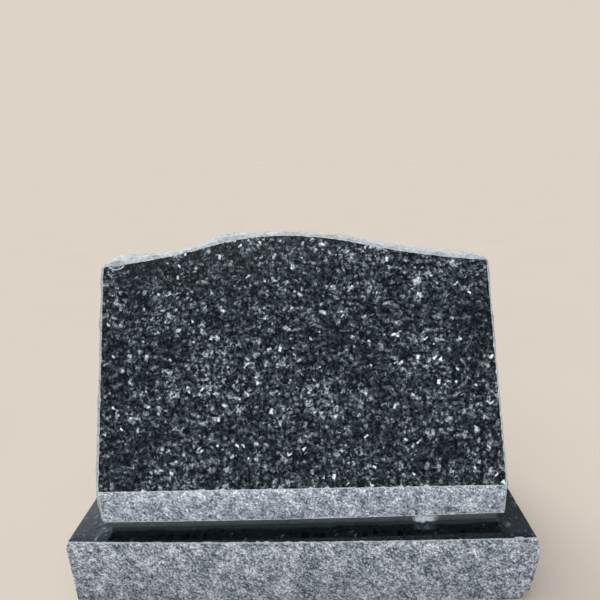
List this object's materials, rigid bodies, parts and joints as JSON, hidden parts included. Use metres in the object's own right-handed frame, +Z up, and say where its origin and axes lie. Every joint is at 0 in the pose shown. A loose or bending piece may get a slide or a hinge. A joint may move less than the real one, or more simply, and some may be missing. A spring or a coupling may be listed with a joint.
{
  "type": "headstone",
  "caption": "Slant granite headstone: a wedge-shaped tablet with a serpentine top, a polished leaning face and a picked nosing, bedded on a low rectangular base.",
  "frame": {"origin": "middle of the base's underside, which is the bottom centre of the bounding box", "axes": "+Z up; -Y is the side that the polished face looks towards; +X is to the right of someone reading the face"},
  "size_m": [0.717, 0.319, 0.5478],
  "materials": {
    "polished_granite": "polished dark blue-grey granite with bright feldspar flakes; its rock-pitched sides and picked nosing are pale grey",
    "picked_granite": "finely picked pale blue-grey granite with a polished top and rock-pitched sides",
    "setting_compound": "dull dark grey setting compound"
  },
  "bodies": {
    "root": {"base": "picked_granite", "setting_bed": "setting_compound", "tablet": "polished_granite"}
  },
  "joints": []
}
